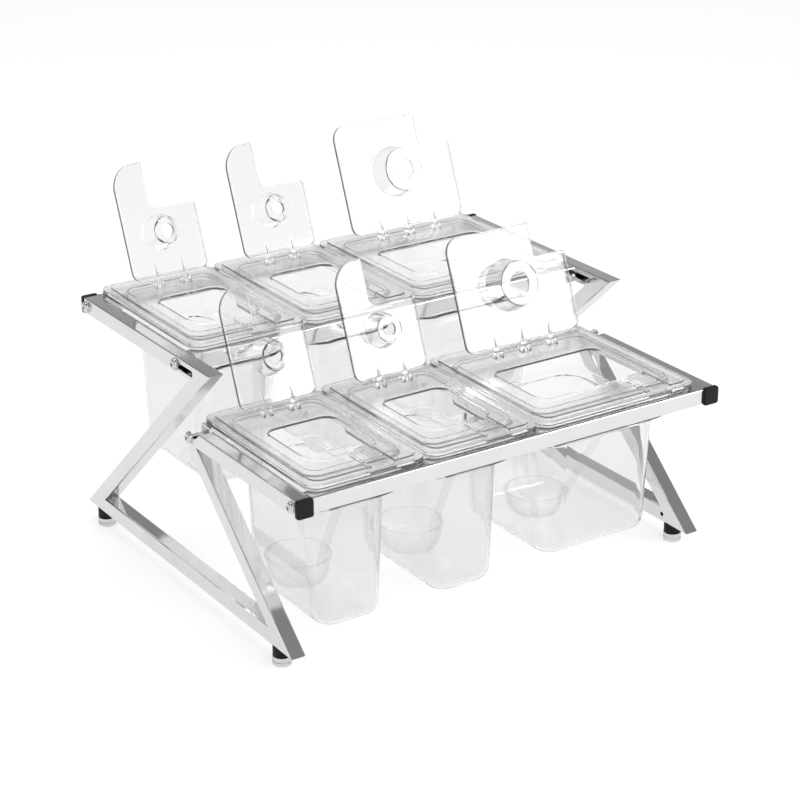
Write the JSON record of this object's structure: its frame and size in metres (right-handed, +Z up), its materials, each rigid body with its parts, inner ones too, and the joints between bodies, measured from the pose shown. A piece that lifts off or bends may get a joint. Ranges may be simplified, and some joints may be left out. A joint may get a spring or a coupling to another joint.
{
  "type": "condiment caddy with flip lids",
  "caption": "Two-tier condiment rack of polished square tube that holds clear food pans, each with a clear lid whose notched flap hinges open.",
  "frame": {"origin": "on the table under the middle of the rack's bounding box", "axes": "+Z up, -Y the front that faces the user, +X to the user's right"},
  "size_m": [0.4204, 0.3668, 0.3226],
  "materials": {
    "polished_steel": "mirror-polished stainless steel",
    "dark_steel": "bright machined screws and nuts",
    "black_plastic": "satin moulded black plastic",
    "clear_pan": "clear glossy moulded polycarbonate",
    "clear_lid": "clear glossy moulded polycarbonate"
  },
  "bodies": {
    "rack": {"upper_rail_left": "polished_steel", "upper_rail_right": "polished_steel", "rear_leg_left": "polished_steel", "rear_leg_right": "polished_steel", "base_tube_left": "polished_steel", "base_tube_right": "polished_steel", "front_leg_left": "polished_steel", "front_leg_right": "polished_steel", "lower_rail_left": "polished_steel", "lower_rail_right": "polished_steel", "upper_rear_bar": "polished_steel", "upper_front_bar": "polished_steel", "lower_rear_bar": "polished_steel", "lower_front_bar": "polished_steel", "bar_end_nuts": "dark_steel", "bar_screws": "dark_steel", "bar_washers": "polished_steel", "rail_caps": "black_plastic", "foot_collars": "black_plastic"},
    "foot_front_left": {"foot_front_left": "polished_steel"},
    "foot_front_right": {"foot_front_right": "polished_steel"},
    "foot_rear_left": {"foot_rear_left": "polished_steel"},
    "foot_rear_right": {"foot_rear_right": "polished_steel"},
    "pan_lower_left": {"pan_lower_left": "clear_pan"},
    "lid_lower_left": {"lid_lower_left": "clear_lid"},
    "flap_lower_left": {"flap_lower_left": "clear_lid"},
    "pan_lower_middle": {"pan_lower_middle": "clear_pan"},
    "lid_lower_middle": {"lid_lower_middle": "clear_lid"},
    "flap_lower_middle": {"flap_lower_middle": "clear_lid"},
    "pan_lower_right": {"pan_lower_right": "clear_pan"},
    "lid_lower_right": {"lid_lower_right": "clear_lid"},
    "flap_lower_right": {"flap_lower_right": "clear_lid"},
    "pan_upper_left": {"pan_upper_left": "clear_pan"},
    "lid_upper_left": {"lid_upper_left": "clear_lid"},
    "flap_upper_left": {"flap_upper_left": "clear_lid"},
    "pan_upper_middle": {"pan_upper_middle": "clear_pan"},
    "lid_upper_middle": {"lid_upper_middle": "clear_lid"},
    "flap_upper_middle": {"flap_upper_middle": "clear_lid"},
    "pan_upper_right": {"pan_upper_right": "clear_pan"},
    "lid_upper_right": {"lid_upper_right": "clear_lid"},
    "flap_upper_right": {"flap_upper_right": "clear_lid"}
  },
  "joints": [
    {"name": "foot_front_left_turn", "type": "hinge", "parent": "rack", "child": "foot_front_left", "pos_m": [-0.1995, -0.14242, 0.008], "axis": [0, 0, 1], "continuous": true},
    {"name": "foot_front_right_turn", "type": "hinge", "parent": "rack", "child": "foot_front_right", "pos_m": [0.1995, -0.14242, 0.008], "axis": [0, 0, 1], "continuous": true},
    {"name": "foot_rear_left_turn", "type": "hinge", "parent": "rack", "child": "foot_rear_left", "pos_m": [-0.1995, 0.16058, 0.008], "axis": [0, 0, 1], "continuous": true},
    {"name": "foot_rear_right_turn", "type": "hinge", "parent": "rack", "child": "foot_rear_right", "pos_m": [0.1995, 0.16058, 0.008], "axis": [0, 0, 1], "continuous": true},
    {"name": "pan_lower_left_lift", "type": "slide", "parent": "rack", "child": "pan_lower_left", "axis": [0, 0, 1], "range_m": [0, 0.16]},
    {"name": "lid_lower_left_lift", "type": "slide", "parent": "pan_lower_left", "child": "lid_lower_left", "axis": [0, 0, 1], "range_m": [0, 0.05]},
    {"name": "flap_lower_left_hinge", "type": "hinge", "parent": "lid_lower_left", "child": "flap_lower_left", "pos_m": [-0.1365, -0.04102, 0.1674], "axis": [1, 0, 0], "range_deg": [0, 112]},
    {"name": "pan_lower_middle_lift", "type": "slide", "parent": "rack", "child": "pan_lower_middle", "axis": [0, 0, 1], "range_m": [0, 0.16]},
    {"name": "lid_lower_middle_lift", "type": "slide", "parent": "pan_lower_middle", "child": "lid_lower_middle", "axis": [0, 0, 1], "range_m": [0, 0.05]},
    {"name": "flap_lower_middle_hinge", "type": "hinge", "parent": "lid_lower_middle", "child": "flap_lower_middle", "pos_m": [-0.027, -0.04102, 0.1674], "axis": [1, 0, 0], "range_deg": [0, 112]},
    {"name": "pan_lower_right_lift", "type": "slide", "parent": "rack", "child": "pan_lower_right", "axis": [0, 0, 1], "range_m": [0, 0.16]},
    {"name": "lid_lower_right_lift", "type": "slide", "parent": "pan_lower_right", "child": "lid_lower_right", "axis": [0, 0, 1], "range_m": [0, 0.05]},
    {"name": "flap_lower_right_hinge", "type": "hinge", "parent": "lid_lower_right", "child": "flap_lower_right", "pos_m": [0.1095, -0.04102, 0.1674], "axis": [1, 0, 0], "range_deg": [0, 112]},
    {"name": "pan_upper_left_lift", "type": "slide", "parent": "rack", "child": "pan_upper_left", "axis": [0, 0, 1], "range_m": [0, 0.16]},
    {"name": "lid_upper_left_lift", "type": "slide", "parent": "pan_upper_left", "child": "lid_upper_left", "axis": [0, 0, 1], "range_m": [0, 0.05]},
    {"name": "flap_upper_left_hinge", "type": "hinge", "parent": "lid_upper_left", "child": "flap_upper_left", "pos_m": [-0.1365, 0.13728, 0.2241], "axis": [1, 0, 0], "range_deg": [0, 112]},
    {"name": "pan_upper_middle_lift", "type": "slide", "parent": "rack", "child": "pan_upper_middle", "axis": [0, 0, 1], "range_m": [0, 0.16]},
    {"name": "lid_upper_middle_lift", "type": "slide", "parent": "pan_upper_middle", "child": "lid_upper_middle", "axis": [0, 0, 1], "range_m": [0, 0.05]},
    {"name": "flap_upper_middle_hinge", "type": "hinge", "parent": "lid_upper_middle", "child": "flap_upper_middle", "pos_m": [-0.027, 0.13728, 0.2241], "axis": [1, 0, 0], "range_deg": [0, 112]},
    {"name": "pan_upper_right_lift", "type": "slide", "parent": "rack", "child": "pan_upper_right", "axis": [0, 0, 1], "range_m": [0, 0.16]},
    {"name": "lid_upper_right_lift", "type": "slide", "parent": "pan_upper_right", "child": "lid_upper_right", "axis": [0, 0, 1], "range_m": [0, 0.05]},
    {"name": "flap_upper_right_hinge", "type": "hinge", "parent": "lid_upper_right", "child": "flap_upper_right", "pos_m": [0.1095, 0.13728, 0.2241], "axis": [1, 0, 0], "range_deg": [0, 112]}
  ]
}
